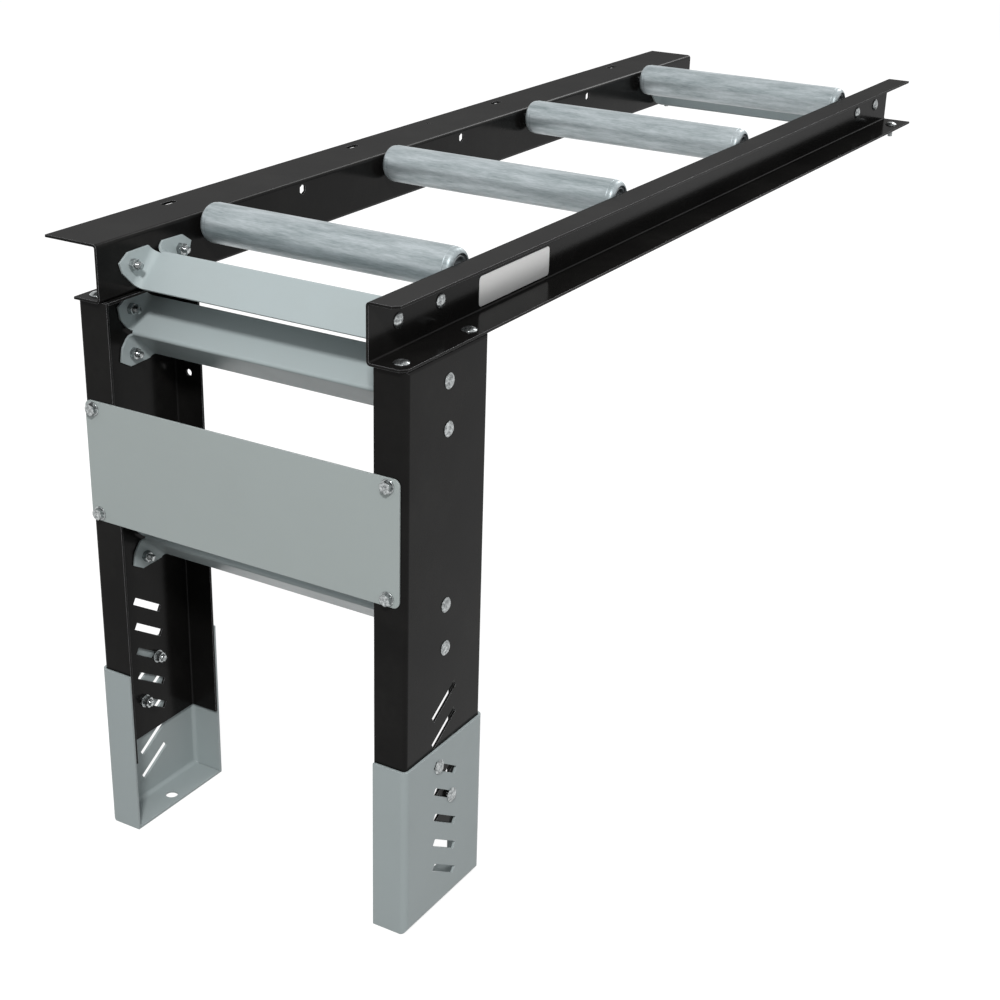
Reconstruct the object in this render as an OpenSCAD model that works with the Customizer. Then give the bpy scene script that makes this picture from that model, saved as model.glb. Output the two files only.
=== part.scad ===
// Roller outfeed table. Two side rails carry four free rollers, and a pair of legs with sliding
// feet holds up the near end. X runs across the table, Y along it from the near end and Z up.
// The pieces are made with Y zero at the near end, then moved so that the origin is on the floor
// under the middle of the whole table.

/* [Table] */
// Height of the rail tops above the floor
table_h = 760; // [730:1:1000]
// Length of the side rails
rail_len = 1524; // [1510:1:2000]
// Clear width between the webs of the rails
rail_gap = 358; // [300:1:460]

/* [Side rails] */
// Depth of the rail channels
rail_h = 68; // [62:1:90]
// Thickness of the rail sheet
rail_sheet = 3; // [2:0.1:4]
// Outside radius of the rail bends
rail_bend = 5; // [4.5:0.1:7]
// Reach of the left rail's top flange
left_top_reach = 75; // [70:1:110]
// Reach of the left rail's bottom flange
left_bottom_reach = 38; // [36:1:50]
// Reach of the right rail's top flange
right_top_reach = 38; // [25:1:50]
// Reach of the right rail's bottom flange
right_bottom_reach = 47; // [36:1:60]
// Length cut off the near corners of the right rail's flanges
corner_cut = 7; // [2:0.5:12]
// Length of the slots in the left rail's top flange
flange_slot_len = 24; // [14:0.5:40]
// Width of those slots
flange_slot_w = 9; // [6:0.5:11]
// Distance of those slots from the web
flange_slot_out = 57; // [50:1:60]
// Diameter of the small hole midway along the same flange
flange_hole_d = 6; // [4:0.5:10]

/* [Rollers] */
// Outside diameter of the roller tubes
roller_d = 48.3; // [44:0.1:52]
// Distance from one roller to the next
roller_pitch = 381; // [340:1:390]
// Distance of the first roller from the near end of the rails
roller_in = 190.5; // [180:0.5:200]
// Depth of the roller centres below the rail tops
axle_drop = 13; // [12:0.5:16]
// Width of the hexagonal axles across their flats
axle_flats = 11.1; // [9:0.1:12]
// Length of axle that shows outside each web
axle_out = 4; // [2:0.5:8]
// Space between each tube end and the web beside it
tube_gap = 6; // [4:0.5:10]
// Wall of the roller tubes
tube_wall = 1.5; // [1:0.1:2.5]
// Radius of the rounded tube ends
tube_round = 7; // [6:0.5:8]
// Width of the lip rolled in at each tube end
tube_lip = 6.5; // [6:0.1:7]
// Length of the narrower shoulder at each tube end
tube_shoulder = 9; // [8:0.5:10]
// Diameter of the bearing balls
ball_d = 4.8; // [3.5:0.1:5.2]
// Number of balls in each bearing
ball_count = 8; // [6:1:10]

/* [Crossbars] */
// Thickness of the crossbar sheet
bar_sheet = 2.5; // [1.5:0.1:3]
// Distance of the rail crossbars' ridges from the ends of the rails
rail_bar_in = 96; // [90:1:105]
// Depth of those ridges below the rail tops
rail_bar_drop = 25; // [22:1:32]
// Half of the rail crossbars' width
rail_bar_half = 37; // [32:1:42]
// Height of the rail crossbars
rail_bar_rise = 37; // [32:1:40]
// Half of the spacing of the rail crossbars' bolts
rail_bolt_half = 41; // [38:0.5:44]
// Depth of those bolts below the ridge
rail_bolt_drop = 9; // [6:0.5:12]
// Depth of the upper leg crossbar's ridge below the tops of the legs
upper_bar_drop = 59; // [52:1:70]
// Depth of the lower leg crossbar's ridge below the tops of the legs
lower_bar_drop = 322; // [310:1:330]
// Half of the leg crossbars' height
leg_bar_half = 36; // [30:1:38]
// Width of the leg crossbars from front to back
leg_bar_reach = 42; // [36:1:44]
// Half of the spacing of the leg crossbars' bolts
leg_bolt_half = 27; // [25:0.5:30]
// Distance of those bolts behind the ridge
leg_bolt_back = 9; // [3:0.5:10]
// Outside radius of the bends between a rail crossbar and its ears
rail_bar_bend = 12; // [8:0.5:13]
// Outside radius of the bends between a leg crossbar and its ears
leg_bar_bend = 9; // [7:0.5:9.5]
// Width of an ear beside its bolt hole, on the steep side
ear_side = 18.5; // [17:0.5:20]
// Height of that side's corner above the hole
ear_side_up = 6.5; // [4:0.5:9]
// Height of an ear's top corner above the hole
ear_top = 18.5; // [17:0.5:20]
// Distance of the top corner beside the hole
ear_top_side = 11.5; // [9:0.5:13]
// Height of the ear's last corner above the hole
ear_back_up = 15; // [13:0.5:16]
// Distance of the last corner beside the hole
ear_back = 6; // [4:0.5:8]

/* [Legs and feet] */
// Width of the legs from front to back
leg_depth = 160; // [150:1:180]
// Distance of the legs from the near end of the rails
leg_in = 6; // [5:1:20]
// Reach of the leg flanges from the outer face
leg_reach = 42; // [40:1:50]
// Thickness of the leg sheet
leg_sheet = 3; // [2:0.1:4]
// Outside radius of the leg bends
leg_bend = 5; // [4.5:0.1:7]
// Height of the lower ends of the legs above the floor
leg_clear = 95; // [80:1:110]
// Height of the feet
foot_h = 220; // [205:1:260]
// Thickness of the foot sheet
foot_sheet = 3; // [2:0.1:4]
// Diameter of the hole in each foot's sole
foot_hole_d = 16; // [8:0.5:20]
// Distance of that hole from the foot's outer face
foot_hole_in = 29; // [26:0.5:32]
// Number of slots in each leg and in each foot
slot_count = 5; // [3:1:5]
// Distance from one slot to the next
slot_pitch = 35; // [34:0.5:36]
// Tilt of the slots
slot_tilt = 32; // [31:0.5:34]
// Length of the slots
slot_len = 54; // [52:0.5:60]
// Width of the slots
slot_w = 9; // [8.6:0.1:10]
// Height of the lowest slot above a leg's lower end
leg_slot_low = 39; // [34:0.5:45]

/* [Front panel and label] */
// Thickness of the front panel
panel_sheet = 2; // [1.2:0.1:3]
// Height of the panel
panel_h = 150; // [120:1:180]
// Depth of the panel's top edge below the tops of the legs
panel_drop = 119.5; // [100:0.5:130]
// Distance of the panel's left edge from the left leg's outer face
panel_in_left = 1.5; // [0:0.5:4]
// Distance of the panel's right edge from the right leg's outer face
panel_in_right = 8; // [4:0.5:10]
// Radius of the panel's corners
panel_round = 8; // [4:0.5:12]
// Distance of the panel's screws from its top and bottom edges
screw_from_edge = 9.5; // [9:0.5:14]
// Distance of the left screws from the left leg's outer face
screw_in_left = 13; // [12:0.5:15]
// Distance of the right screws from the right leg's outer face
screw_in_right = 23; // [20:0.5:27]
// Length of the label plate on the right rail
label_len = 158; // [100:1:200]
// Height of the label plate
label_h = 35; // [20:1:38]
// Distance of the label plate from the near end of the rail
label_in = 216; // [200:1:300]
// Depth of the label plate's top edge below the rail top
label_drop = 26; // [22:0.5:30]

/* [Fasteners] */
// Diameter of the bolts
bolt_d = 7.94; // [6:0.01:8]
// Length of the bolts under the head
bolt_len = 19; // [16:0.5:25]
// Diameter of the round bolt heads
head_d = 18.3; // [14:0.1:19]
// Height of the round bolt heads
head_h = 4.2; // [3:0.1:6]
// Width of the nuts and screw heads across their flats
nut_flats = 12.7; // [11:0.1:13.5]
// Height of the nuts
nut_h = 6.7; // [5:0.1:8]
// Height of the panel screws' heads
screw_head_h = 5.3; // [4:0.1:6.5]
// Diameter of the washers
washer_d = 17; // [15:0.5:19]
// Thickness of the washers
washer_h = 1.6; // [1:0.1:2.2]
// Distance of the leg bolts from the legs' outer faces
leg_bolt_in = 17; // [15:0.5:19]
// Distance of the leg bolts from the front and back of the legs
leg_bolt_from_edge = 14; // [13:0.5:20]
// Distance of the far bolts from the far ends of the rails
far_bolt_in = 42; // [20:1:50]

/* [Hidden] */
$fn = 96;
// Overrun of every cut past the faces that it opens
over = 1;
// Running gap between a leg and the foot that slides on it
slip = 0.3;
// Gap under the heads and washers of the bolts that slide along the slots
slide_gap = 0.1;
// Radial gap between a bolt and its nut or washer
thread_gap = 0.05;
// Gap round a bolt in its hole
hole_gap = 0.3;
// Gap round an axle in its hexagonal hole
hex_gap = 0.15;
// Slit between an end flap and the flanges beside it
flap_slit = 1;
// Thickness of the label plate
label_sheet = 0.4;
// Radius of the label plate's corners
label_round = 5;
// Radial gap between a bearing cup and its tube
press_gap = 0.03;
// Gap between a ball and each of its races
ball_gap = 0.2;
// Length of a bearing cup
cup_len = 13;
// Wall of a bearing cup and of its race ring
cup_wall = 2;
// Thickness of a cup's shield
shield_sheet = 1;
// Depth of a cup's face behind the tube lip
cup_inset = 0.6;
// Depth of a cup's shield behind its face
shield_in = 3.5;
// Wall of an inner race outside the corners of its hexagonal bore
race_wall = 1.6;
// Gap between an inner race and the web beside it
race_gap = 0.4;
// Rolled rib round a bearing cup's face
rib_r = 0.8;
// Gap between a cup's face and the thin rim round it
rim_gap = 0.8;
// Wall of that rim
rim_w = 0.9;
// Step from a tube down to its shoulders
shoulder_step = 0.7;
// Radius of that step's edge
step_round = 1.4;

// Radius inside the fold along a crossbar's ridge
fold_in = 1.5;
// Number of rollers
roller_count = 4;
// Leg slots that take the clamp bolts, counted up from the lowest
clamp_leg_slots = [2, 0];
// Foot slots that take the same bolts, counted down from the highest
clamp_foot_slots = [0, 1];
left_x = -rail_gap / 2 - left_bottom_reach;
right_x = rail_gap / 2 + right_bottom_reach;
mid_x = (left_x + right_x) / 2;
leg_mid_y = leg_in + leg_depth / 2;
leg_top_z = table_h - rail_h;
flange_top_z = leg_top_z + rail_sheet;
upper_bar_z = leg_top_z - upper_bar_drop;
lower_bar_z = leg_top_z - lower_bar_drop;
panel_z = leg_top_z - panel_drop - panel_h / 2;
leg_slot_z = leg_clear + leg_slot_low;
foot_slot_z = leg_slot_z + (clamp_leg_slots[0] - 1 / 2) * slot_pitch;
axle_z = table_h - axle_drop;
neck_h = min(rail_sheet, leg_sheet);
roller_r = roller_d / 2;
tube_len = rail_gap - 2 * tube_gap;
race_r = axle_flats / 2 / cos(30) + race_wall;
ball_ring_r = race_r + ball_gap + ball_d / 2;
foot_skin = slip + foot_sheet;
front_y = min(0, leg_in - panel_sheet - washer_h - screw_head_h);
outermost_left = rail_gap / 2 + left_top_reach;
outermost_right = max(right_x + foot_skin + slide_gap + head_h, rail_gap / 2 + right_top_reach);

// Flat shapes

module rounded_channel_outline(w, reach, bend) {
    translate([-w / 2, bend])
        square([w, reach - bend]);
    translate([bend - w / 2, 0])
        square([w - 2 * bend, reach]);
    for (side = [-1, 1])
        translate([side * (w / 2 - bend), bend])
            circle(bend);
}

module channel_outline(w, reach, sheet, bend) {
    difference() {
        rounded_channel_outline(w, reach, bend);
        translate([0, sheet])
            rounded_channel_outline(w - 2 * sheet, reach, bend - sheet);
    }
}

module rounded_plate(w, h, thick, round) {
    linear_extrude(thick) {
        square([w, h - 2 * round], center = true);
        square([w - 2 * round, h], center = true);
        for (x = [-1, 1])
            for (y = [-1, 1])
                translate([x * (w / 2 - round), y * (h / 2 - round)])
                    circle(round);
    }
}

// Fasteners. Each points along Z, with its head above the sheet face at zero.

module hex_prism(flats, h) {
    cylinder(d = flats / cos(30), h = h, $fn = 6);
}

module chamfered_hex(flats, h) {
    intersection() {
        hex_prism(flats, h);
        translate([0, 0, h / 2])
            sphere(norm([flats / 2 / cos(30), h / 2]) - (flats / cos(30) - flats) / 4);
    }
}

module bolt_shank() {
    translate([0, 0, -bolt_len])
        cylinder(d = bolt_d, h = bolt_len);
}

module carriage_bolt(lift) {
    dome_r = (head_h * head_h + head_d * head_d / 4) / (2 * head_h);
    translate([0, 0, lift])
        intersection() {
            translate([0, 0, head_h - dome_r])
                sphere(dome_r);
            cylinder(d = head_d, h = head_h);
        }
    translate([-bolt_d / 2, -bolt_d / 2, -neck_h])
        cube([bolt_d, bolt_d, neck_h + lift]);
    translate([0, 0, lift])
        bolt_shank();
}

module neck_hole(sheet) {
    translate([0, 0, -sheet / 2])
        cube([bolt_d + 2 * hole_gap, bolt_d + 2 * hole_gap, sheet + 2 * over], center = true);
}

module bolt_hole(sheet) {
    translate([0, 0, -sheet - over])
        cylinder(d = bolt_d + 2 * hole_gap, h = sheet + 2 * over);
}

module nut_under(grip) {
    translate([0, 0, -grip - nut_h])
        difference() {
            chamfered_hex(nut_flats, nut_h);
            translate([0, 0, -over])
                cylinder(d = bolt_d + 2 * thread_gap, h = nut_h + 2 * over);
        }
}

module washer() {
    difference() {
        cylinder(d = washer_d, h = washer_h);
        translate([0, 0, -over])
            cylinder(d = bolt_d + 2 * thread_gap, h = washer_h + 2 * over);
    }
}

module hex_screw() {
    translate([0, 0, washer_h]) {
        chamfered_hex(nut_flats, screw_head_h);
        bolt_shank();
    }
}

// Places where fasteners go

module at_rail_bar_bolts() {
    for (ridge_y = [rail_bar_in, rail_len - rail_bar_in])
        for (across = [-1, 1])
            for (along = [-1, 1])
                translate([across * (rail_gap / 2 + rail_sheet), ridge_y + along * rail_bolt_half,
                    table_h - rail_bar_drop - rail_bolt_drop])
                    rotate([0, across * 90, 0])
                        children();
}

module at_leg_bar_bolts() {
    for (ridge_z = [upper_bar_z, lower_bar_z])
        for (across = [-1, 1])
            for (up = [-1, 1])
                translate([across < 0 ? left_x : right_x, leg_mid_y, ridge_z + up * leg_bolt_half])
                    rotate([0, across * 90, 0])
                        children();
}

module at_leg_top_bolts() {
    for (x = [left_x + leg_bolt_in, right_x - leg_bolt_in])
        for (y = [leg_in + leg_bolt_from_edge, leg_in + leg_depth - leg_bolt_from_edge])
            translate([x, y, flange_top_z])
                children();
}

module at_far_bolts() {
    for (x = [left_x + leg_bolt_in, right_x - leg_bolt_in])
        translate([x, rail_len - far_bolt_in, flange_top_z])
            children();
}

module at_panel_screws() {
    for (x = [left_x + screw_in_left, right_x - screw_in_right])
        for (up = [-1, 1])
            translate([x, leg_in - panel_sheet, panel_z + up * (panel_h / 2 - screw_from_edge)])
                rotate([90, 0, 0])
                    children();
}

// Side rails

module rail(top_reach, bottom_reach) {
    reach = max(top_reach, bottom_reach);
    difference() {
        translate([rail_gap / 2, 0, table_h - rail_h / 2])
            rotate([0, -90, -90])
                linear_extrude(rail_len)
                    channel_outline(rail_h, reach, rail_sheet, rail_bend);
        translate([rail_gap / 2 + top_reach, -over, table_h - rail_h / 2])
            cube([reach, rail_len + 2 * over, rail_h]);
        translate([rail_gap / 2 + bottom_reach, -over, table_h - rail_h * 3 / 2])
            cube([reach, rail_len + 2 * over, rail_h]);
        axle_holes();
    }
}

module axle_holes() {
    for (k = [0 : 2 * roller_count - 2])
        translate([rail_gap / 2 - over, roller_in + k * roller_pitch / 2, axle_z])
            rotate([0, 90, 0])
                hex_prism(axle_flats + 2 * hex_gap, rail_sheet + 2 * over);
}

module near_corner_cut(reach, z) {
    translate([rail_gap / 2 + reach, 0, z])
        rotate(45)
            cube([corner_cut * sqrt(2), corner_cut * sqrt(2), rail_h], center = true);
}

module flange_slot() {
    h = 2 * rail_sheet + 2 * over;
    straight = flange_slot_len - flange_slot_w;
    cube([flange_slot_w, straight, h], center = true);
    for (end = [-1, 1])
        translate([0, end * straight / 2, 0])
            cylinder(d = flange_slot_w, h = h, center = true);
}

module rail_bolt_holes() {
    at_rail_bar_bolts()
        neck_hole(rail_sheet);
    at_leg_top_bolts()
        neck_hole(rail_sheet);
    at_far_bolts()
        neck_hole(rail_sheet);
}

module left_rail() {
    color("#202225")
        difference() {
            mirror([1, 0, 0])
                rail(left_top_reach, left_bottom_reach);
            rail_bolt_holes();
            for (k = [0 : roller_count - 1])
                translate([-rail_gap / 2 - flange_slot_out, roller_in + k * roller_pitch, table_h])
                    flange_slot();
            translate([-rail_gap / 2 - flange_slot_out, roller_in + roller_pitch * 3 / 2,
                table_h - rail_sheet - over])
                cylinder(d = flange_hole_d, h = rail_sheet + 2 * over);
        }
}

module right_rail() {
    color("#202225")
        difference() {
            rail(right_top_reach, right_bottom_reach);
            rail_bolt_holes();
            near_corner_cut(right_top_reach, table_h);
            near_corner_cut(right_bottom_reach, leg_top_z);
        }
}

// Rollers

module round_end_outline(r, len, round) {
    translate([0, round - len / 2])
        square([r, len - 2 * round]);
    translate([0, -len / 2])
        square([r - round, len]);
    for (end = [-1, 1])
        translate([r - round, end * (len / 2 - round)])
            circle(round);
}

module roller_tube() {
    rotate_extrude()
        difference() {
            union() {
                round_end_outline(roller_r, tube_len - 2 * tube_shoulder, step_round);
                round_end_outline(roller_r - shoulder_step, tube_len, tube_round);
            }
            round_end_outline(roller_r - tube_wall, tube_len - 2 * tube_wall, tube_round - tube_wall);
            translate([0, -tube_len])
                square([roller_r - tube_lip, 2 * tube_len]);
        }
}

module bearing_cup() {
    outer = roller_r - tube_wall - press_gap;
    ring_in = ball_ring_r + ball_d / 2 + ball_gap;
    face = tube_wall + cup_inset;
    ring_mid = ring_in + cup_wall / 2;
    rim_in = ring_in + cup_wall + rim_gap;
    plate_end = tube_round + 2 * shield_sheet;
    rotate_extrude() {
        polygon([[ring_mid, tube_round], [outer, tube_round], [outer, cup_len], [outer - cup_wall, cup_len],
            [outer - cup_wall, plate_end], [ring_mid, plate_end]]);
        translate([ring_in, face])
            square([cup_wall, cup_len - face]);
        translate([race_r + 2 * ball_gap, face + shield_in])
            square([ring_mid - race_r - 2 * ball_gap, shield_sheet]);
        translate([rim_in, face])
            square([rim_w, tube_round - face + shield_sheet]);
        translate([rim_in + rim_w / 2, face])
            circle(d = rim_w);
        translate([ring_mid, face])
            circle(rib_r);
    }
}

module roller_bearing_cups() {
    for (end = [0, 1])
        mirror([0, 0, end])
            translate([0, 0, -tube_len / 2])
                bearing_cup();
}

module roller_bearing_balls() {
    ball_z = tube_len / 2 - (tube_wall + cup_inset + shield_in + shield_sheet + cup_len) / 2;
    for (end = [-1, 1])
        for (k = [0 : ball_count - 1])
            rotate(k * 360 / ball_count)
                translate([ball_ring_r, 0, end * ball_z])
                    sphere(d = ball_d);
}

module at_roller(k) {
    translate([0, roller_in + (k - 1) * roller_pitch, axle_z])
        rotate([0, 90, 0])
            children();
}

module roller_tube_at(k) {
    color("#aeb5b8")
        at_roller(k)
            roller_tube();
}

module roller_cups_at(k) {
    color("#8e9496")
        at_roller(k)
            roller_bearing_cups();
}

module roller_balls_at(k) {
    color("#c8cccd")
        at_roller(k)
            roller_bearing_balls();
}

module inner_race() {
    race_len = tube_gap - race_gap + cup_len;
    translate([0, 0, rail_gap / 2 - race_gap - race_len])
        difference() {
            cylinder(r = race_r, h = race_len);
            translate([0, 0, -over])
                hex_prism(axle_flats + 2 * hex_gap, race_len + 2 * over);
        }
}

module bearing_inner_races() {
    color("#9a9fa1")
        for (k = [1 : roller_count])
            for (end = [0, 1])
                at_roller(k)
                    mirror([0, 0, end])
                        inner_race();
}

module axle_at(k) {
    axle_len = rail_gap + 2 * rail_sheet + 2 * axle_out;
    color("#8b9092")
        at_roller(k)
            translate([0, 0, -axle_len / 2])
                hex_prism(axle_flats, axle_len);
}

// Crossbars. Each is one sheet folded along a ridge, with two ears turned out at each end.

// An ear is steep towards the sheet's free edge (steep = -1) or towards the ridge (steep = 1).
module ear_outline(face, hole, root, steep) {
    steep_x = steep < 0 ? 0 : face;
    side_x = steep < 0 ? max(0, hole.x - ear_side) : min(face, hole.x + ear_side);
    polygon([[face - steep_x, -bar_sheet], [steep_x, -bar_sheet], [steep_x, root],
        [side_x, hole.y + ear_side_up], hole + [steep * ear_top_side, ear_top],
        hole + [-steep * ear_back, ear_back_up], [face - steep_x, root]]);
}

module quarter_fold_outline() {
    intersection() {
        difference() {
            circle(bar_sheet + fold_in);
            circle(fold_in);
        }
        square(bar_sheet + fold_in);
    }
}

// One half of the bar lies from its free edge up to the fold, along the tilt of its face.
module crossbar_face(len, half, rise, hole_half, hole_drop, bend, steep) {
    face = norm([half, rise]);
    tilt = atan2(rise, half);
    across = half - hole_half;
    up = rise - hole_drop;
    hole = [across * cos(tilt) + up * sin(tilt), up * cos(tilt) - across * sin(tilt)];
    flat = face - (bar_sheet + fold_in) * tan(tilt);
    translate([0, -half, -rise])
        rotate([tilt, 0, 0]) {
            difference() {
                intersection() {
                    translate([0, face, -bar_sheet])
                        rotate([90, 0, 0])
                            linear_extrude(face)
                                channel_outline(len, hole.y + ear_top + 2 * bar_sheet, bar_sheet, bend);
                    translate([-len, 0, 0])
                        rotate([90, 0, 90])
                            linear_extrude(2 * len)
                                ear_outline(face, hole, bend - bar_sheet, steep);
                }
                translate([-len, flat, -2 * bar_sheet])
                    cube([2 * len, face, hole.y + 2 * ear_top]);
                translate([-len, hole.x, hole.y])
                    rotate([0, 90, 0])
                        cylinder(d = bolt_d + 2 * hole_gap, h = 2 * len);
            }
            translate([bend - len / 2, flat, -bar_sheet - fold_in])
                rotate([90, 0, 90])
                    linear_extrude(len - 2 * bend)
                        quarter_fold_outline();
        }
}

// The two halves meet on the plane through the ridge.
module crossbar(len, half, rise, hole_half, hole_drop, bend, steep) {
    for (side = [0, 1])
        mirror([0, side, 0])
            difference() {
                crossbar_face(len, half, rise, hole_half, hole_drop, bend, steep);
                translate([-len, 0, -rise])
                    cube([2 * len, half, 2 * rise]);
            }
}

module rail_crossbar() {
    color("#b4bcc0")
        crossbar(rail_gap, rail_bar_half, rail_bar_rise, rail_bolt_half, rail_bolt_drop, rail_bar_bend, -1);
}

module near_rail_crossbar() {
    translate([0, rail_bar_in, table_h - rail_bar_drop])
        rail_crossbar();
}

module far_rail_crossbar() {
    translate([0, rail_len - rail_bar_in, table_h - rail_bar_drop])
        rail_crossbar();
}

module leg_crossbar(z) {
    translate([mid_x, leg_mid_y - leg_bolt_back, z])
        rotate([90, 0, 0])
            color("#b4bcc0")
                crossbar(right_x - left_x - 2 * leg_sheet, leg_bar_half, leg_bar_reach,
                    leg_bolt_half, leg_bolt_back, leg_bar_bend, 1);
}

// Legs and feet. Both legs are one pattern, and so are both feet: the right one is turned half round.
// In the pattern X runs inward from the leg's outer face and Y from its front face.

module at_left_leg() {
    translate([left_x, leg_in, 0])
        children();
}

module at_right_leg() {
    translate([right_x, leg_in + leg_depth, 0])
        rotate(180)
            children();
}

module folded_block(w, reach, h, bend) {
    intersection() {
        linear_extrude(h)
            rotate(90)
                mirror([0, 1])
                    rounded_channel_outline(w, reach, bend);
        translate([0, w, 0])
            rotate([90, 0, 0])
                linear_extrude(2 * w) {
                    square([reach, h - bend]);
                    translate([bend, 0])
                        square([reach - bend, h]);
                    translate([bend, h - bend])
                        circle(bend);
                }
    }
}

// A channel that stands on its open end, with a flap folded in from its outer face at the top.
module flapped_channel(w, reach, h, sheet, bend) {
    difference() {
        folded_block(w, reach, h, bend);
        translate([sheet, 0, -over])
            folded_block(w - 2 * sheet, reach, h - sheet + over, bend - sheet);
        for (side = [-1, 1])
            translate([bend, side * (w / 2 - sheet - flap_slit / 2) - flap_slit / 2, h - 2 * sheet])
                cube([reach, flap_slit, 4 * sheet]);
    }
}

module slot_row(first_z, step, tilt, sheet) {
    for (k = [0 : slot_count - 1])
        translate([sheet / 2, leg_depth / 2, first_z + k * step])
            rotate([tilt, 0, 0])
                cube([sheet + 2 * over, slot_len, slot_w], center = true);
}

module panel_hole_pair(in, y) {
    for (up = [-1, 1])
        translate([in, y, panel_z + up * (panel_h / 2 - screw_from_edge)])
            rotate([90, 0, 0])
                bolt_hole(leg_sheet);
}

module leg_pattern() {
    difference() {
        translate([0, leg_depth / 2, leg_clear])
            flapped_channel(leg_depth, leg_reach, leg_top_z - leg_clear, leg_sheet, leg_bend);
        slot_row(leg_slot_z, slot_pitch, -slot_tilt, leg_sheet);
        panel_hole_pair(screw_in_left, 0);
        panel_hole_pair(screw_in_right, leg_depth - leg_sheet);
        for (ridge_z = [upper_bar_z, lower_bar_z])
            for (up = [-1, 1])
                translate([0, leg_depth / 2, ridge_z + up * leg_bolt_half])
                    rotate([0, -90, 0])
                        neck_hole(leg_sheet);
        for (y = [leg_bolt_from_edge, leg_depth - leg_bolt_from_edge])
            translate([leg_bolt_in, y, leg_top_z])
                bolt_hole(leg_sheet);
    }
}

module left_leg() {
    color("#202225")
        at_left_leg()
            leg_pattern();
}

module right_leg() {
    color("#202225")
        at_right_leg()
            leg_pattern();
}

module foot_pattern() {
    difference() {
        translate([-foot_skin, leg_depth / 2, foot_h])
            mirror([0, 0, 1])
                flapped_channel(leg_depth + 2 * foot_skin, leg_reach + foot_skin, foot_h, foot_sheet,
                    leg_bend + foot_skin);
        translate([-foot_skin, 0, 0])
            slot_row(foot_slot_z, -slot_pitch, slot_tilt, foot_sheet);
        translate([foot_hole_in - foot_skin, leg_depth / 2, -over])
            cylinder(d = foot_hole_d, h = foot_sheet + 2 * over);
    }
}

module left_foot() {
    color("#b4bcc0")
        at_left_leg()
            foot_pattern();
}

module right_foot() {
    color("#b4bcc0")
        at_right_leg()
            foot_pattern();
}

// The clamp bolts stand where a leg slot crosses a foot slot.
module at_clamp_bolts() {
    for (k = [0, 1]) {
        leg_z = leg_slot_z + clamp_leg_slots[k] * slot_pitch;
        foot_z = foot_slot_z - clamp_foot_slots[k] * slot_pitch;
        translate([-foot_skin, leg_depth / 2 + (leg_z - foot_z) / (2 * tan(slot_tilt)),
            (leg_z + foot_z) / 2])
            rotate([0, -90, 0])
                children();
    }
}

module clamp_bolts() {
    color("#c3c8ca")
        at_clamp_bolts()
            rotate(-slot_tilt)
                carriage_bolt(slide_gap);
}

module clamp_washers() {
    color("#b0b5b7")
        at_clamp_bolts()
            translate([0, 0, -foot_skin - leg_sheet - slide_gap - washer_h])
                washer();
}

module clamp_nuts() {
    color("#c3c8ca")
        at_clamp_bolts()
            nut_under(foot_skin + leg_sheet + slide_gap + washer_h);
}

// Front panel and label plate

module front_panel() {
    panel_left = left_x + panel_in_left;
    panel_right = right_x - panel_in_right;
    color("#a9b1b5")
        difference() {
            translate([(panel_left + panel_right) / 2, leg_in, panel_z])
                rotate([90, 0, 0])
                    rounded_plate(panel_right - panel_left, panel_h, panel_sheet, panel_round);
            at_panel_screws()
                bolt_hole(panel_sheet);
        }
}

module blank_label_plate() {
    color("#d5d8da")
        translate([rail_gap / 2 + rail_sheet, label_in + label_len / 2, table_h - label_drop - label_h / 2])
            rotate([90, 0, 90])
                rounded_plate(label_len, label_h, label_sheet, label_round);
}

// The whole table, moved to its origin

module on_origin() {
    translate([(outermost_left - outermost_right) / 2, -(front_y + rail_len) / 2, 0])
        children();
}

on_origin() left_rail();
on_origin() right_rail();
on_origin() near_rail_crossbar();
on_origin() far_rail_crossbar();
on_origin() leg_crossbar(upper_bar_z);  // upper_leg_crossbar
on_origin() leg_crossbar(lower_bar_z);  // lower_leg_crossbar
on_origin() left_leg();
on_origin() right_leg();
on_origin() left_foot();
on_origin() right_foot();
on_origin() front_panel();
on_origin() blank_label_plate();
for (k = [1 : roller_count]) {
    on_origin() roller_tube_at(k);
    on_origin() roller_cups_at(k);
    on_origin() roller_balls_at(k);
    on_origin() axle_at(k);
}
on_origin() bearing_inner_races();
on_origin() color("#c3c8ca") at_rail_bar_bolts() carriage_bolt(0);  // rail_crossbar_bolts
on_origin() color("#c3c8ca") at_rail_bar_bolts() nut_under(rail_sheet + bar_sheet);  // rail_crossbar_nuts
on_origin() color("#c3c8ca") at_leg_bar_bolts() carriage_bolt(0);  // leg_crossbar_bolts
on_origin() color("#c3c8ca") at_leg_bar_bolts() nut_under(leg_sheet + bar_sheet);  // leg_crossbar_nuts
on_origin() color("#c3c8ca") at_leg_top_bolts() carriage_bolt(0);  // leg_top_bolts
on_origin() color("#c3c8ca") at_leg_top_bolts() nut_under(rail_sheet + leg_sheet);  // leg_top_nuts
on_origin() color("#c3c8ca") at_far_bolts() carriage_bolt(0);  // far_end_bolts
on_origin() color("#c3c8ca") at_far_bolts() nut_under(rail_sheet);  // far_end_nuts
on_origin() color("#c3c8ca") at_panel_screws() hex_screw();  // panel_screws
on_origin() color("#b0b5b7") at_panel_screws() washer();  // panel_screw_washers
on_origin() color("#c3c8ca") at_panel_screws() nut_under(panel_sheet + leg_sheet);  // panel_screw_nuts
on_origin() at_left_leg() clamp_bolts();  // left_foot_bolts
on_origin() at_left_leg() clamp_washers();  // left_foot_washers
on_origin() at_left_leg() clamp_nuts();  // left_foot_nuts
on_origin() at_right_leg() clamp_bolts();  // right_foot_bolts
on_origin() at_right_leg() clamp_washers();  // right_foot_washers
on_origin() at_right_leg() clamp_nuts();  // right_foot_nuts
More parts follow.
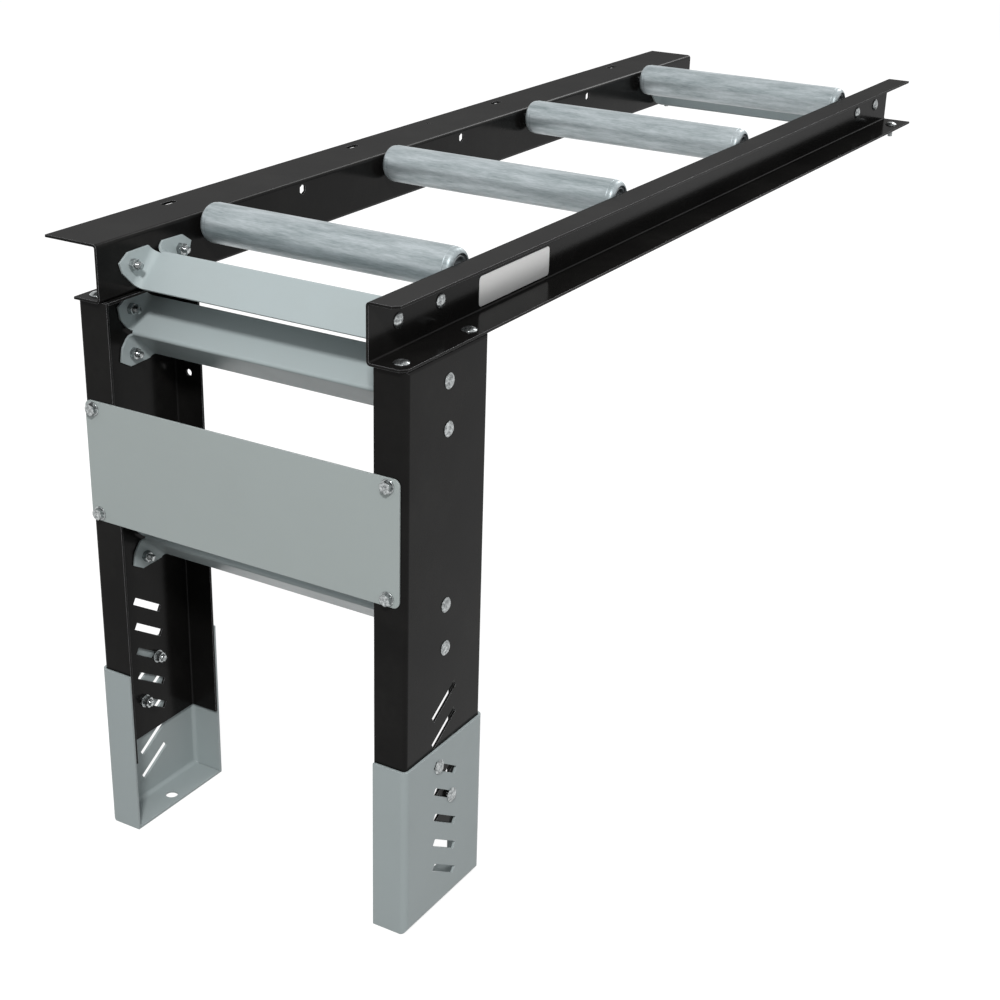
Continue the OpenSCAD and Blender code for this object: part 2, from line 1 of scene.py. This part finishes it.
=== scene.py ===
# Roller outfeed table: two gloss black side rails, four zinc rollers, grey folded crossbars, a pair
# of black legs with grey sliding feet, a grey front panel and their fasteners.
import math
import random

import bpy
from mathutils import Matrix, Vector


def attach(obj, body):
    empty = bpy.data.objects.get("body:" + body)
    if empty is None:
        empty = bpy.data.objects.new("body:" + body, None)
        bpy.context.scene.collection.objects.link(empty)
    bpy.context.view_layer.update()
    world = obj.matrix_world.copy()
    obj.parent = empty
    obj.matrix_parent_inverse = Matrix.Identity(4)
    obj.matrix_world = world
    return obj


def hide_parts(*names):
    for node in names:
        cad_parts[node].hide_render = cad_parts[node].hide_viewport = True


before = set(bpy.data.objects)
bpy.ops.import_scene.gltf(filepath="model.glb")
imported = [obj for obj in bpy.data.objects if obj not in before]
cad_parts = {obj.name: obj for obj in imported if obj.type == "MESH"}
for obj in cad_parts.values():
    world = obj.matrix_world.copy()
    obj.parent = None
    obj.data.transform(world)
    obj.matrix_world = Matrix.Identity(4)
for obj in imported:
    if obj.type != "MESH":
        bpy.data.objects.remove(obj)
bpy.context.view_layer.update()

scene = bpy.context.scene
scene.view_settings.view_transform = "Standard"

# Camera. It looks down on the near end of the table from the front right, as the photograph does,
# with a lens of about 65 mm and a small shift.
camera_place = (1.1812, -2.2012, 1.2979)
camera_right = (0.852575, 0.522201, 0.020538)
camera_up = (-0.235795, 0.349306, 0.906855)
camera_back = (0.466386, -0.778005, 0.420942)
camera_data = bpy.data.cameras.new("photo_camera")
camera_data.sensor_width = 36
camera_data.lens = 65.036
camera_data.shift_x = 0.03
camera_data.shift_y = 0.05
camera_data.clip_end = 60
camera = bpy.data.objects.new("photo_camera", camera_data)
camera_turn = Matrix((camera_right, camera_up, camera_back)).transposed().to_4x4()
camera.matrix_world = Matrix.Translation(camera_place) @ camera_turn
scene.collection.objects.link(camera)
scene.camera = camera

# Studio. The floor is a plain pale sheet that keeps the table's shadow, and the air behind it is
# white. Both look white in the camera, in metal and in gloss paint, and light the table softly.
floor_size = 40
floor_colour = (0.3, 0.295, 0.29, 1)
floor_glow = 0.85
floor_drop = 0.0005
air_colour = (0.96, 0.98, 1, 1)
air_light = 0.55
white = (1, 1, 1, 1)


def seen_rays(nodes, links):
    path = nodes.new("ShaderNodeLightPath")
    first = nodes.new("ShaderNodeMath")
    first.operation = "MAXIMUM"
    links.new(path.outputs["Is Camera Ray"], first.inputs[0])
    links.new(path.outputs["Is Glossy Ray"], first.inputs[1])
    both = nodes.new("ShaderNodeMath")
    both.operation = "MAXIMUM"
    links.new(first.outputs[0], both.inputs[0])
    links.new(path.outputs["Is Transmission Ray"], both.inputs[1])
    return both.outputs[0]


world = bpy.data.worlds.new("white_studio")
world.use_nodes = True
scene.world = world
air = world.node_tree
air.nodes.clear()
air_fill = air.nodes.new("ShaderNodeBackground")
air_fill.inputs["Color"].default_value = air_colour
air_fill.inputs["Strength"].default_value = air_light
air_seen = air.nodes.new("ShaderNodeBackground")
air_seen.inputs["Color"].default_value = white
air_mix = air.nodes.new("ShaderNodeMixShader")
air_out = air.nodes.new("ShaderNodeOutputWorld")
air.links.new(seen_rays(air.nodes, air.links), air_mix.inputs[0])
air.links.new(air_fill.outputs[0], air_mix.inputs[1])
air.links.new(air_seen.outputs[0], air_mix.inputs[2])
air.links.new(air_mix.outputs[0], air_out.inputs[0])

floor_mesh = bpy.data.meshes.new("studio_floor")
half_floor = floor_size / 2
floor_mesh.from_pydata([(x, y, 0) for x, y in ((-half_floor, -half_floor), (half_floor, -half_floor),
                                               (half_floor, half_floor), (-half_floor, half_floor))],
                       [], [(0, 1, 2, 3)])
floor = bpy.data.objects.new("studio_floor", floor_mesh)
floor.location.z = -floor_drop
scene.collection.objects.link(floor)
floor_paint = bpy.data.materials.new("pale_floor")
floor_paint.use_nodes = True
tree = floor_paint.node_tree
tree.nodes.clear()
floor_matt = tree.nodes.new("ShaderNodeBsdfDiffuse")
floor_matt.inputs["Color"].default_value = floor_colour
floor_white = tree.nodes.new("ShaderNodeEmission")
floor_white.inputs["Color"].default_value = white
floor_share = tree.nodes.new("ShaderNodeMath")
floor_share.operation = "MULTIPLY"
floor_share.inputs[1].default_value = floor_glow
floor_sum = tree.nodes.new("ShaderNodeAddShader")
floor_out = tree.nodes.new("ShaderNodeOutputMaterial")
tree.links.new(seen_rays(tree.nodes, tree.links), floor_share.inputs[0])
tree.links.new(floor_share.outputs[0], floor_white.inputs["Strength"])
tree.links.new(floor_matt.outputs[0], floor_sum.inputs[0])
tree.links.new(floor_white.outputs[0], floor_sum.inputs[1])
tree.links.new(floor_sum.outputs[0], floor_out.inputs[0])
floor_mesh.materials.append(floor_paint)

# Each lamp: name, place, the point it faces, width, depth and watts. The ceiling lamp stands to the
# front right, and the back lamp is a larger soft one behind the far end.
lamps = (
    ("ceiling_lamp", (1.85, -3.55, 3.81), (0, -0.3, 0.5), 0.45, 0.45, 134),
    ("back_lamp", (0.4, 3.9, 3.5), (0, 0.1, 0.75), 1.5, 2.4, 70),
)
for name, place, target, wide, deep, watts in lamps:
    lamp_data = bpy.data.lights.new(name, "AREA")
    lamp_data.shape = "RECTANGLE"
    lamp_data.size = wide
    lamp_data.size_y = deep
    lamp_data.energy = watts
    lamp = bpy.data.objects.new(name, lamp_data)
    lamp.location = place
    lamp.rotation_euler = (Vector(target) - Vector(place)).to_track_quat("-Z", "Y").to_euler()
    scene.collection.objects.link(lamp)

# Side rails and legs. They are folded from 3 mm steel sheet and powder coated gloss black. The
# coating has a fine orange peel and carries faint handling marks; a painted highlight lightens its
# colour along the sharp edges.
coat_colour = (0.0072, 0.0069, 0.0066, 1)
coat_gloss = 0.16
peel_scale = 430
peel_strength = 0.35
smudge_scale = 9
scuff_scale = 55
smudge_start = 0.42
dust_strength = 1.6
paint_edge_radius = 0.0007


def group(name, sockets_in, sockets_out):
    made = bpy.data.node_groups.new(name, "ShaderNodeTree")
    for socket, kind, value in sockets_in:
        made.interface.new_socket(socket, in_out="INPUT", socket_type=kind).default_value = value
    for socket, kind in sockets_out:
        made.interface.new_socket(socket, in_out="OUTPUT", socket_type=kind)
    return made, made.nodes.new("NodeGroupInput"), made.nodes.new("NodeGroupOutput")


def maths(tree, operation, first, second, clamp=False):
    made = tree.nodes.new("ShaderNodeMath")
    made.operation = operation
    made.use_clamp = clamp
    for k, value in enumerate((first, second)):
        if isinstance(value, (int, float)):
            made.inputs[k].default_value = value
        else:
            tree.links.new(value, made.inputs[k])
    return made.outputs[0]


def noise(tree, vector, size, detail=3, rough=0.55):
    made = tree.nodes.new("ShaderNodeTexNoise")
    made.inputs["Detail"].default_value = detail
    made.inputs["Roughness"].default_value = rough
    tree.links.new(vector, made.inputs["Vector"])
    if isinstance(size, (int, float)):
        made.inputs["Scale"].default_value = size
    else:
        tree.links.new(size, made.inputs["Scale"])
    return made.outputs["Fac"]


skin_outputs = (("Colour", "NodeSocketColor"), ("Roughness", "NodeSocketFloat"),
                ("Height", "NodeSocketFloat"))


def powder_coat_group():
    made, given, out = group(
        "powder_coat",
        (("Peel Scale", "NodeSocketFloat", peel_scale), ("Peel Height", "NodeSocketFloat", 1),
         ("Gloss", "NodeSocketFloat", 0.2), ("Marks", "NodeSocketFloat", 0.1),
         ("Colour", "NodeSocketColor", white), ("Dusty Colour", "NodeSocketColor", white)),
        skin_outputs)
    place = made.nodes.new("ShaderNodeTexCoord").outputs["Object"]
    peel = noise(made, place, given.outputs["Peel Scale"], detail=2)
    made.links.new(maths(made, "MULTIPLY", peel, given.outputs["Peel Height"]), out.inputs["Height"])
    smudge = noise(made, place, smudge_scale, detail=5, rough=0.62)
    scuff = noise(made, place, scuff_scale, detail=4, rough=0.7)
    marks = maths(made, "MULTIPLY", maths(made, "SUBTRACT", smudge, smudge_start, clamp=True), scuff)
    spread = maths(made, "MULTIPLY", marks, given.outputs["Marks"])
    made.links.new(maths(made, "ADD", given.outputs["Gloss"], spread), out.inputs["Roughness"])
    blend = made.nodes.new("ShaderNodeMix")
    blend.data_type = "RGBA"
    made.links.new(maths(made, "MULTIPLY", marks, dust_strength, clamp=True), blend.inputs["Factor"])
    made.links.new(given.outputs["Colour"], blend.inputs["A"])
    made.links.new(given.outputs["Dusty Colour"], blend.inputs["B"])
    made.links.new(blend.outputs["Result"], out.inputs["Colour"])
    return made


powder_coat = powder_coat_group()


# Rounds the shading of sharp edges, and gives a mask along them for a painted highlight.
def rounded_edge_group():
    made, given, out = group(
        "rounded_edge", (("Radius", "NodeSocketFloat", 0.0005), ("Sharpness", "NodeSocketFloat", 3)),
        (("Normal", "NodeSocketVector"), ("Edge Highlight", "NodeSocketFloat")))
    bevel = made.nodes.new("ShaderNodeBevel")
    bevel.samples = 4
    made.links.new(given.outputs["Radius"], bevel.inputs["Radius"])
    made.links.new(bevel.outputs["Normal"], out.inputs["Normal"])
    flat = made.nodes.new("ShaderNodeNewGeometry")
    near = made.nodes.new("ShaderNodeVectorMath")
    near.operation = "DOT_PRODUCT"
    made.links.new(bevel.outputs["Normal"], near.inputs[0])
    made.links.new(flat.outputs["True Normal"], near.inputs[1])
    # The mask for the painted highlight rises where the bevelled normal leaves the true normal, along
    # sharp edges.
    away = maths(made, "SUBTRACT", 1, near.outputs["Value"])
    edge = maths(made, "MULTIPLY", away, given.outputs["Sharpness"], clamp=True)
    made.links.new(edge, out.inputs["Edge Highlight"])
    return made


rounded_edge = rounded_edge_group()


def painted(name, colour, dusty, gloss, peel, marks, edge_highlight_colour, ior=1.25):
    made = bpy.data.materials.new(name)
    made.use_nodes = True
    tree = made.node_tree
    shader = tree.nodes["Principled BSDF"]
    shader.inputs["IOR"].default_value = ior
    paint = tree.nodes.new("ShaderNodeGroup")
    paint.node_tree = powder_coat
    for socket, value in (("Peel Scale", peel_scale), ("Peel Height", 1), ("Gloss", gloss),
                          ("Marks", marks), ("Colour", colour), ("Dusty Colour", dusty)):
        paint.inputs[socket].default_value = value
    edge = tree.nodes.new("ShaderNodeGroup")
    edge.node_tree = rounded_edge
    edge.inputs["Radius"].default_value = paint_edge_radius
    # Painted highlight: along the sharp edges the base colour turns to the edge highlight colour.
    blend = tree.nodes.new("ShaderNodeMix")
    blend.data_type = "RGBA"
    tree.links.new(edge.outputs["Edge Highlight"], blend.inputs["Factor"])
    tree.links.new(paint.outputs["Colour"], blend.inputs["A"])
    blend.inputs["B"].default_value = edge_highlight_colour
    tree.links.new(blend.outputs["Result"], shader.inputs["Base Color"])
    tree.links.new(paint.outputs["Roughness"], shader.inputs["Roughness"])
    bump = tree.nodes.new("ShaderNodeBump")
    bump.inputs["Strength"].default_value = peel_strength
    bump.inputs["Distance"].default_value = peel
    tree.links.new(paint.outputs["Height"], bump.inputs["Height"])
    tree.links.new(edge.outputs["Normal"], bump.inputs["Normal"])
    tree.links.new(bump.outputs["Normal"], shader.inputs["Normal"])
    return made


# The clear top of the gloss coat. Its weight falls as the view gets flatter, so that the coat never
# reflects more than the share called most.
def glaze(material, ior, rough, most):
    tree = material.node_tree
    shader = tree.nodes["Principled BSDF"]
    shader.inputs["Specular IOR Level"].default_value = 0
    shader.inputs["Coat IOR"].default_value = ior
    shader.inputs["Coat Roughness"].default_value = rough
    bump = tree.nodes["Bump"].outputs["Normal"]
    fresnel = tree.nodes.new("ShaderNodeFresnel")
    fresnel.inputs["IOR"].default_value = ior
    tree.links.new(bump, fresnel.inputs["Normal"])
    tree.links.new(bump, shader.inputs["Coat Normal"])
    reflected = maths(tree, "MAXIMUM", fresnel.outputs["Fac"], most)
    tree.links.new(maths(tree, "DIVIDE", most, reflected), shader.inputs["Coat Weight"])


def finish_in(material, *nodes):
    for node in nodes:
        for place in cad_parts[node].material_slots:
            place.material = material


# The edge colour of the gloss black is a painted highlight along its sharp edges.
gloss_black = painted("gloss_black_powder_coat", coat_colour, dusty=(0.03, 0.029, 0.027, 1),
                      gloss=coat_gloss, peel=0.00012, marks=0.5, edge_highlight_colour=(0.36, 0.36, 0.37, 1))
glaze(gloss_black, ior=1.15, rough=coat_gloss, most=0.045)
finish_in(gloss_black, "left_rail", "right_rail", "left_leg", "right_leg")

# Crossbars. Folded sheet, powder coated a satin light grey. Each one is a single sheet with a ridge,
# bolted through the two ears at each end.
satin_peel = 0.00008
# The edge colour of the crossbar grey is a painted highlight along its sharp edges.
bar_grey = painted("bar_grey_powder_coat", (0.44, 0.5, 0.505, 1), dusty=(0.4, 0.44, 0.43, 1),
                   gloss=0.3, peel=satin_peel, marks=0.5, edge_highlight_colour=(0.62, 0.68, 0.68, 1))
finish_in(bar_grey, "near_rail_crossbar", "far_rail_crossbar", "upper_leg_crossbar",
          "lower_leg_crossbar")

# Feet. Channels of folded sheet with a sole, slid over the legs, in a slightly darker grey than the
# crossbars.
# The edge colour of the foot grey is a painted highlight along its sharp edges.
foot_grey = painted("foot_grey_powder_coat", (0.38, 0.428, 0.43, 1), dusty=(0.34, 0.375, 0.37, 1),
                    gloss=0.32, peel=satin_peel, marks=0.5, edge_highlight_colour=(0.6, 0.65, 0.65, 1))
finish_in(foot_grey, "left_foot", "right_foot")

# Front panel. A flat sheet with round corners, powder coated satin grey like the crossbars, held
# across both legs by four screws.
# The edge colour of the panel grey is a painted highlight along its sharp edges.
panel_grey = painted("panel_grey_powder_coat", (0.41, 0.455, 0.445, 1), dusty=(0.38, 0.42, 0.41, 1),
                     gloss=0.32, peel=satin_peel, marks=0.4, edge_highlight_colour=(0.66, 0.7, 0.7, 1))
finish_in(panel_grey, "front_panel")

# Label plate. A blank label of silver foil with round corners, stuck to the web of the right rail.
# The edge colour of the label is a painted highlight along its sharp edges.
label_silver = painted("blank_silver_label", (0.88, 0.88, 0.87, 1), dusty=(0.82, 0.82, 0.82, 1),
                       gloss=0.42, peel=0.00002, marks=0.3, edge_highlight_colour=(0.95, 0.95, 0.95, 1))
foil_metal = 0.7
label_silver.node_tree.nodes["Principled BSDF"].inputs["Metallic"].default_value = foil_metal
finish_in(label_silver, "blank_label_plate")

# Rollers. Steel tubes, zinc galvanised, with a mottle that is drawn out along their length. Each turns
# on two pressed bearing cups with steel balls, around an axle of hexagon bar.
zinc_light = (0.51, 0.56, 0.58, 1)
zinc_dark = (0.26, 0.305, 0.315, 1)
mottle_low = 0.36
mottle_high = 0.64
cloud_share = 0.7
grain_finer = 7
mottle_rough = 0.12
zinc_bump = 0.3


def zinc_group():
    made, given, out = group(
        "zinc_mottle",
        (("Light", "NodeSocketColor", zinc_light), ("Dark", "NodeSocketColor", zinc_dark),
         ("Scale", "NodeSocketFloat", 60), ("Stretch", "NodeSocketVector", (1, 1, 1)),
         ("Gloss", "NodeSocketFloat", 0.35)),
        skin_outputs)
    place = made.nodes.new("ShaderNodeTexCoord").outputs["Object"]
    stretch = made.nodes.new("ShaderNodeVectorMath")
    stretch.operation = "MULTIPLY"
    made.links.new(place, stretch.inputs[0])
    made.links.new(given.outputs["Stretch"], stretch.inputs[1])
    cloud = noise(made, stretch.outputs[0], given.outputs["Scale"], detail=5, rough=0.65)
    fine = noise(made, stretch.outputs[0], maths(made, "MULTIPLY", given.outputs["Scale"], grain_finer),
                 detail=2)
    mix = maths(made, "ADD", maths(made, "MULTIPLY", cloud, cloud_share),
                maths(made, "MULTIPLY", fine, 1 - cloud_share))
    share = made.nodes.new("ShaderNodeMapRange")
    share.inputs["From Min"].default_value = mottle_low
    share.inputs["From Max"].default_value = mottle_high
    made.links.new(mix, share.inputs["Value"])
    blend = made.nodes.new("ShaderNodeMix")
    blend.data_type = "RGBA"
    made.links.new(share.outputs["Result"], blend.inputs["Factor"])
    made.links.new(given.outputs["Dark"], blend.inputs["A"])
    made.links.new(given.outputs["Light"], blend.inputs["B"])
    made.links.new(blend.outputs["Result"], out.inputs["Colour"])
    rough = maths(made, "MULTIPLY", maths(made, "SUBTRACT", 0.6, share.outputs["Result"]),
                  mottle_rough)
    made.links.new(maths(made, "ADD", given.outputs["Gloss"], rough), out.inputs["Roughness"])
    made.links.new(mix, out.inputs["Height"])
    return made


zinc_mottle = zinc_group()


def zinc_metal(name, light, dark, scale, stretch, gloss, metal, bump_height=0.00003,
               edge_radius=0.0004):
    made = bpy.data.materials.new(name)
    made.use_nodes = True
    tree = made.node_tree
    shader = tree.nodes["Principled BSDF"]
    shader.inputs["Metallic"].default_value = metal
    skin = tree.nodes.new("ShaderNodeGroup")
    skin.node_tree = zinc_mottle
    for socket, value in (("Light", light), ("Dark", dark), ("Scale", scale), ("Stretch", stretch),
                          ("Gloss", gloss)):
        skin.inputs[socket].default_value = value
    edge = tree.nodes.new("ShaderNodeGroup")
    edge.node_tree = rounded_edge
    edge.inputs["Radius"].default_value = edge_radius
    tree.links.new(skin.outputs["Colour"], shader.inputs["Base Color"])
    tree.links.new(skin.outputs["Roughness"], shader.inputs["Roughness"])
    bump = tree.nodes.new("ShaderNodeBump")
    bump.inputs["Strength"].default_value = zinc_bump
    bump.inputs["Distance"].default_value = bump_height
    tree.links.new(skin.outputs["Height"], bump.inputs["Height"])
    tree.links.new(edge.outputs["Normal"], bump.inputs["Normal"])
    tree.links.new(bump.outputs["Normal"], shader.inputs["Normal"])
    return made


roller_zinc = zinc_metal("roller_zinc", zinc_light, zinc_dark, scale=110, stretch=(0.12, 1, 1),
                         gloss=0.4, metal=0.5)
pressed_zinc = zinc_metal("pressed_bearing_zinc", (0.5, 0.53, 0.54, 1), (0.3, 0.32, 0.33, 1),
                          scale=130, stretch=(1, 1, 1), gloss=0.34, metal=0.8)
ball_steel = zinc_metal("polished_balls", (0.7, 0.7, 0.72, 1), (0.6, 0.6, 0.62, 1), scale=300,
                        stretch=(1, 1, 1), gloss=0.12, metal=1)
axle_steel = zinc_metal("drawn_axle_steel", (0.42, 0.44, 0.45, 1), (0.28, 0.3, 0.31, 1), scale=160,
                        stretch=(0.2, 1, 1), gloss=0.34, metal=0.85)
for k in (1, 2, 3, 4):
    finish_in(roller_zinc, f"roller_{k}_tube")
    finish_in(pressed_zinc, f"roller_{k}_bearing_cups")
    finish_in(ball_steel, f"roller_{k}_bearing_balls")
    finish_in(axle_steel, f"axle_{k}")
finish_in(axle_steel, "bearing_inner_races")

# Fasteners. 5/16 inch carriage bolts with domed heads hold the frame together, with hexagon nuts; four
# hexagon screws with washers hold the panel. All are turned or forged steel, bright zinc plated.
near_end = Vector((0.0102, -0.76055, 0))
bolt_r = 0.00397
thread_pitch = 0.00141
thread_depth = 0.00045
bolt_length = 0.019
thread_gap = 0.00005
thread_rows = 8
thread_fade_rows = 6
tip_taper = 0.0004
tip_length = 0.0005
neck_length = 0.003
neck_step = 0.0002
head_r = 0.00915
head_height = 0.0042
head_rim = 0.0007
head_edge = 0.0003
dome_rows = 9
nut_flats = 0.0127
nut_height = 0.0067
nut_flat_share = 0.965
nut_chamfer = 30
washer_r = 0.0085
washer_thick = 0.0016
washer_edge = 0.0003
screw_head = 0.0053
screw_flat_share = 0.93
screw_dish_share = 0.6
screw_dish_rim = 0.0001
screw_dish = 0.0004
steps_round = 48
bolt_zinc = zinc_metal("bolt_zinc_plate", (0.62, 0.65, 0.65, 1), (0.06, 0.065, 0.07, 1), scale=300,
                       stretch=(1, 1, 1), gloss=0.22, metal=0.9, bump_height=0.0004)


def ring(radius_at, height_at):
    turns = [2 * math.pi * k / steps_round for k in range(steps_round)]
    return [(radius_at(t) * math.cos(t), radius_at(t) * math.sin(t), height_at(t)) for t in turns]


def round_ring(radius, height):
    return ring(lambda turn: radius, lambda turn: height)


def skin_of_rings(rings, closed_ends=(True, True), loop=False):
    points = [point for one in rings for point in one]
    faces = []
    rows = len(rings) if loop else len(rings) - 1
    for row in range(rows):
        low, high = row * steps_round, (row + 1) % len(rings) * steps_round
        for k in range(steps_round):
            after = (k + 1) % steps_round
            faces.append((low + k, low + after, high + after, high + k))
    if not loop and closed_ends[0]:
        faces.append(tuple(range(steps_round - 1, -1, -1)))
    if not loop and closed_ends[1]:
        faces.append(tuple(range(len(points) - steps_round, len(points))))
    return points, faces


def thread_rings(radius, bottom, top, depth, inward=False):
    rows = int((top - bottom) / thread_pitch * thread_rows)
    made = []
    for row in range(rows + 1):
        height = bottom + (top - bottom) * row / rows
        fade = min(1, row / thread_fade_rows, (rows - row) / thread_fade_rows)

        def radius_at(turn, height=height, fade=fade):
            phase = (height / thread_pitch - turn / (2 * math.pi)) % 1
            groove = depth * fade * abs(2 * phase - 1)
            return radius + groove if inward else radius - groove

        made.append(ring(radius_at, lambda turn, height=height: height))
    return made


def carriage_bolt(lift=0.0):
    dome_r = (head_height ** 2 + head_r ** 2) / (2 * head_height)
    made = [round_ring(bolt_r - thread_depth - tip_taper, lift - bolt_length)]
    thread_top = -neck_length - neck_step
    made += thread_rings(bolt_r, lift - bolt_length + tip_length, thread_top, thread_depth)
    made.append(round_ring(bolt_r, -neck_length))
    made.append(round_ring(bolt_r, lift))
    made.append(round_ring(head_r - head_edge, lift))
    made.append(round_ring(head_r, lift + head_edge))
    for k in range(1, dome_rows):
        away = head_r * math.cos(math.pi / 2 * k / dome_rows)
        rise = math.sqrt(dome_r ** 2 - away ** 2) - dome_r + head_height
        above = head_rim + rise * (head_height - head_rim) / head_height
        made.append(round_ring(away, lift + above))
    made.append(round_ring(head_edge, lift + head_height))
    return skin_of_rings(made)


def hex_radius(turn):
    return nut_flats / 2 / math.cos(turn % (math.pi / 3) - math.pi / 6)


def hex_rings(bottom, top, flat_r, chamfer_below=True):
    def drop(turn):
        return (hex_radius(turn) - flat_r) * math.tan(math.radians(nut_chamfer))

    made = [round_ring(flat_r, bottom)] if chamfer_below else []
    low = (lambda turn: bottom + drop(turn)) if chamfer_below else (lambda turn: bottom)
    made.append(ring(hex_radius, low))
    made.append(ring(hex_radius, lambda turn: top - drop(turn)))
    made.append(round_ring(flat_r, top))
    return made


def hex_nut(grip):
    top, bottom = -grip, -grip - nut_height
    bore = bolt_r + thread_gap
    flat_r = nut_flats / 2 * nut_flat_share
    made = [round_ring(bore + thread_depth, bottom)] + hex_rings(bottom, top, flat_r)
    made.append(round_ring(bore + thread_depth, top))
    made += thread_rings(bore, bottom + tip_taper, top - tip_taper, thread_depth, inward=True)[::-1]
    return skin_of_rings(made, loop=True)


def hex_screw():
    lift = washer_thick
    top = lift + screw_head
    flat_r = nut_flats / 2 * screw_flat_share
    made = [round_ring(bolt_r - thread_depth - tip_taper, lift - bolt_length)]
    made += thread_rings(bolt_r, lift - bolt_length + tip_length, lift - tip_taper, thread_depth)
    made.append(round_ring(bolt_r, lift))
    made += hex_rings(lift, top, flat_r, chamfer_below=False)
    made.append(round_ring(flat_r * screw_dish_share, top - screw_dish_rim))
    made.append(round_ring(head_edge, top - screw_dish))
    return skin_of_rings(made)


def washer(bottom):
    inner = bolt_r + thread_gap
    top = washer_thick
    profile = ((inner, washer_edge), (inner, top - washer_edge), (inner + washer_edge, top),
               (washer_r - washer_edge, top), (washer_r, top - washer_edge), (washer_r, washer_edge),
               (washer_r - washer_edge, 0), (inner + washer_edge, 0))
    rings = [round_ring(radius, bottom + height) for radius, height in profile]
    return skin_of_rings(rings[::-1], loop=True)


# Where the fasteners sit, from the near end of the rails, and which way each row of them faces.
to_left = (-1, 0, 0)
to_right = (1, 0, 0)
to_front = (0, -1, 0)
upward = (0, 0, 1)


def spots_at(xs, ys, zs, outward):
    return [(near_end + Vector((x, y, z)), Vector(outward)) for x in xs for y in ys for z in zs]


rail_bar_ys = (0.055, 0.137, 1.387, 1.469)
rail_bar_zs = (0.726,)
rail_bar_spots = (spots_at((-0.182,), rail_bar_ys, rail_bar_zs, to_left)
                  + spots_at((0.182,), rail_bar_ys, rail_bar_zs, to_right))
leg_bar_ys = (0.086,)
leg_bar_zs = (0.606, 0.66, 0.343, 0.397)
leg_bar_spots = (spots_at((-0.217,), leg_bar_ys, leg_bar_zs, to_left)
                 + spots_at((0.226,), leg_bar_ys, leg_bar_zs, to_right))
flange_xs = (-0.2, 0.209)
flange_zs = (0.695,)
leg_top_spots = spots_at(flange_xs, (0.02, 0.152), flange_zs, upward)
far_spots = spots_at(flange_xs, (1.482,), flange_zs, upward)
panel_spots = spots_at((-0.204, 0.203), (0.004,), (0.432, 0.563), to_front)
front_slot_y = 0.072
back_slot_y = 0.1
upper_slot_z = 0.19525
lower_slot_z = 0.14275
left_foot_xs = (-0.2203,)
right_foot_xs = (0.2293,)
left_foot_spots = (spots_at(left_foot_xs, (back_slot_y,), (upper_slot_z,), to_left)
                   + spots_at(left_foot_xs, (front_slot_y,), (lower_slot_z,), to_left))
right_foot_spots = (spots_at(right_foot_xs, (front_slot_y,), (upper_slot_z,), to_right)
                    + spots_at(right_foot_xs, (back_slot_y,), (lower_slot_z,), to_right))

# Thickness that each nut clamps: the sheets between it and the head of its bolt. The clamp bolts of
# the feet slide, so they have a running gap under their heads.
bar_grip = 0.0055
leg_top_grip = 0.006
far_grip = 0.003
panel_grip = 0.005
foot_grip = 0.008
running_gap = 0.0001
smooth_up_to = 32
turning = random.Random(7)


def fasten(name, node, body, shape, spots):
    points, faces = [], []
    for spot, outward in spots:
        own_turn = Matrix.Rotation(turning.uniform(0, math.pi), 3, "Z")
        turn = outward.to_track_quat("Z", "Y").to_matrix() @ own_turn
        faces += [tuple(len(points) + k for k in face) for face in shape[1]]
        points += [turn @ Vector(point) + spot for point in shape[0]]
    mesh = bpy.data.meshes.new(name)
    mesh.from_pydata(points, [], faces)
    mesh.materials.append(bolt_zinc)
    mesh.shade_smooth()
    mesh.set_sharp_from_angle(angle=math.radians(smooth_up_to))
    piece = bpy.data.objects.new(name, mesh)
    scene.collection.objects.link(piece)
    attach(piece, body)
    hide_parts(node)


fasten("rail_bolts_threaded", "rail_crossbar_bolts", "frame", carriage_bolt(), rail_bar_spots)
fasten("rail_nuts_chamfered", "rail_crossbar_nuts", "frame", hex_nut(bar_grip), rail_bar_spots)
fasten("leg_bar_bolts_threaded", "leg_crossbar_bolts", "frame", carriage_bolt(), leg_bar_spots)
fasten("leg_bar_nuts_chamfered", "leg_crossbar_nuts", "frame", hex_nut(bar_grip), leg_bar_spots)
fasten("leg_top_bolts_threaded", "leg_top_bolts", "frame", carriage_bolt(), leg_top_spots)
fasten("leg_top_nuts_chamfered", "leg_top_nuts", "frame", hex_nut(leg_top_grip), leg_top_spots)
fasten("far_bolts_threaded", "far_end_bolts", "frame", carriage_bolt(), far_spots)
fasten("far_nuts_chamfered", "far_end_nuts", "frame", hex_nut(far_grip), far_spots)
fasten("panel_screws_threaded", "panel_screws", "frame", hex_screw(), panel_spots)
fasten("panel_washers_rounded", "panel_screw_washers", "frame", washer(0), panel_spots)
fasten("panel_nuts_chamfered", "panel_screw_nuts", "frame", hex_nut(panel_grip), panel_spots)
for side, spots in (("left", left_foot_spots), ("right", right_foot_spots)):
    clamp = f"{side}_clamp_bolts"
    bolt = carriage_bolt(running_gap)
    fasten(f"{side}_clamp_bolts_threaded", f"{side}_foot_bolts", clamp, bolt, spots)
    fasten(f"{side}_clamp_washers_rounded", f"{side}_foot_washers", clamp, washer(-foot_grip), spots)
    fasten(f"{side}_clamp_nuts_chamfered", f"{side}_foot_nuts", clamp, hex_nut(foot_grip), spots)
